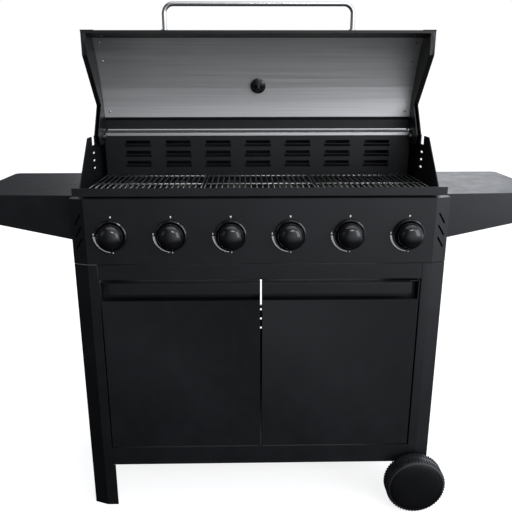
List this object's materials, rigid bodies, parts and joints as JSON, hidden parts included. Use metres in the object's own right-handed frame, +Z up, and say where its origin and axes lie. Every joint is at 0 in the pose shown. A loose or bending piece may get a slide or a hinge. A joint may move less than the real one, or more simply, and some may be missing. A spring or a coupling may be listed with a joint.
{
  "type": "gas barbecue grill",
  "caption": "Wide gas barbecue on a cabinet cart with side shelves, a hinged lid, wire grates, a control panel with knobs, two doors and wheels on one side.",
  "frame": {"origin": "on the floor, under the centre of the bounding box", "axes": "+X to the right as seen from the front (across the shelves), +Y from the front to the rear, +Z up"},
  "size_m": [1.36, 0.5, 1.2413],
  "materials": {
    "powder_coat": "satin black powder coat",
    "stainless": "satin, brushed along its length",
    "wire_steel": "dull plated wire",
    "heat_steel": "dark, heat-dulled",
    "knob_black": "glossy",
    "wheel_black": "moulded, slightly grained",
    "valve_brass": "plain"
  },
  "bodies": {
    "cart": {"left_side_frame": "powder_coat", "right_side_frame": "powder_coat", "cabinet_floor": "powder_coat", "back_panel": "powder_coat", "front_fascia": "powder_coat", "control_panel": "powder_coat", "left_shelf": "powder_coat", "right_shelf": "powder_coat", "front_axle": "heat_steel", "rear_axle": "heat_steel", "left_end_plate": "powder_coat", "right_end_plate": "powder_coat", "firebox_front_wall": "powder_coat", "firebox_back_wall": "powder_coat", "rear_deflector": "stainless", "firebox_rear_cover": "powder_coat", "left_grate": "wire_steel", "middle_grate": "wire_steel", "right_grate": "wire_steel", "burner_1": "stainless", "burner_2": "stainless", "burner_3": "stainless", "burner_4": "stainless", "burner_5": "stainless", "burner_6": "stainless", "flame_tamer_1": "heat_steel", "flame_tamer_2": "heat_steel", "flame_tamer_3": "heat_steel", "flame_tamer_4": "heat_steel", "flame_tamer_5": "heat_steel", "flame_tamer_6": "heat_steel", "gas_manifold": "valve_brass", "left_hinge_bolt": "heat_steel", "right_hinge_bolt": "heat_steel"},
    "lid": {"lid_shell": "powder_coat", "lid_liner": "stainless", "lid_handle": "stainless", "lid_thermometer": "knob_black"},
    "left_cabinet_door": {"left_door": "powder_coat", "left_door_grip": "powder_coat"},
    "right_cabinet_door": {"right_door": "powder_coat", "right_door_grip": "powder_coat"},
    "front_roller": {"front_wheel": "wheel_black", "front_hub_cap": "wheel_black"},
    "rear_roller": {"rear_wheel": "wheel_black", "rear_hub_cap": "wheel_black"},
    "grease_tray": {"drip_tray": "stainless", "grease_cup": "stainless"},
    "stem_1": {"valve_stem_1": "heat_steel"},
    "dial_1": {"knob_1": "knob_black"},
    "stem_2": {"valve_stem_2": "heat_steel"},
    "dial_2": {"knob_2": "knob_black"},
    "stem_3": {"valve_stem_3": "heat_steel"},
    "dial_3": {"knob_3": "knob_black"},
    "stem_4": {"valve_stem_4": "heat_steel"},
    "dial_4": {"knob_4": "knob_black"},
    "stem_5": {"valve_stem_5": "heat_steel"},
    "dial_5": {"knob_5": "knob_black"},
    "stem_6": {"valve_stem_6": "heat_steel"},
    "dial_6": {"knob_6": "knob_black"}
  },
  "joints": [
    {"name": "lid_hinge", "type": "hinge", "parent": "cart", "child": "lid", "pos_m": [0, 0.072, 0.922], "axis": [1, 0, 0], "range_deg": [0, 90]},
    {"name": "left_door_hinge", "type": "hinge", "parent": "cart", "child": "left_cabinet_door", "pos_m": [-0.37, -0.194, 0.39], "axis": [0, 0, -1], "range_deg": [0, 105]},
    {"name": "right_door_hinge", "type": "hinge", "parent": "cart", "child": "right_cabinet_door", "pos_m": [0.37, -0.194, 0.39], "axis": [0, 0, 1], "range_deg": [0, 105]},
    {"name": "front_wheel_spin", "type": "hinge", "parent": "cart", "child": "front_roller", "pos_m": [0.393, -0.224, 0.075], "axis": [0, 1, 0], "continuous": true},
    {"name": "rear_wheel_spin", "type": "hinge", "parent": "cart", "child": "rear_roller", "pos_m": [0.393, 0.224, 0.075], "axis": [0, 1, 0], "continuous": true},
    {"name": "grease_tray_slide", "type": "slide", "parent": "cart", "child": "grease_tray", "axis": [0, 1, 0], "range_m": [0, 0.28]},
    {"name": "knob_push_1", "type": "slide", "parent": "cart", "child": "stem_1", "axis": [0, 1, 0], "range_m": [0, 0.0035], "stiffness_N_per_m": 1500},
    {"name": "knob_turn_1", "type": "hinge", "parent": "stem_1", "child": "dial_1", "pos_m": [-0.339, -0.22, 0.726], "axis": [0, -1, 0], "range_deg": [0, 180]},
    {"name": "knob_push_2", "type": "slide", "parent": "cart", "child": "stem_2", "axis": [0, 1, 0], "range_m": [0, 0.0035], "stiffness_N_per_m": 1500},
    {"name": "knob_turn_2", "type": "hinge", "parent": "stem_2", "child": "dial_2", "pos_m": [-0.2034, -0.22, 0.726], "axis": [0, -1, 0], "range_deg": [0, 180]},
    {"name": "knob_push_3", "type": "slide", "parent": "cart", "child": "stem_3", "axis": [0, 1, 0], "range_m": [0, 0.0035], "stiffness_N_per_m": 1500},
    {"name": "knob_turn_3", "type": "hinge", "parent": "stem_3", "child": "dial_3", "pos_m": [-0.0678, -0.22, 0.726], "axis": [0, -1, 0], "range_deg": [0, 180]},
    {"name": "knob_push_4", "type": "slide", "parent": "cart", "child": "stem_4", "axis": [0, 1, 0], "range_m": [0, 0.0035], "stiffness_N_per_m": 1500},
    {"name": "knob_turn_4", "type": "hinge", "parent": "stem_4", "child": "dial_4", "pos_m": [0.0678, -0.22, 0.726], "axis": [0, -1, 0], "range_deg": [0, 180]},
    {"name": "knob_push_5", "type": "slide", "parent": "cart", "child": "stem_5", "axis": [0, 1, 0], "range_m": [0, 0.0035], "stiffness_N_per_m": 1500},
    {"name": "knob_turn_5", "type": "hinge", "parent": "stem_5", "child": "dial_5", "pos_m": [0.2034, -0.22, 0.726], "axis": [0, -1, 0], "range_deg": [0, 180]},
    {"name": "knob_push_6", "type": "slide", "parent": "cart", "child": "stem_6", "axis": [0, 1, 0], "range_m": [0, 0.0035], "stiffness_N_per_m": 1500},
    {"name": "knob_turn_6", "type": "hinge", "parent": "stem_6", "child": "dial_6", "pos_m": [0.339, -0.22, 0.726], "axis": [0, -1, 0], "range_deg": [0, 180]}
  ]
}
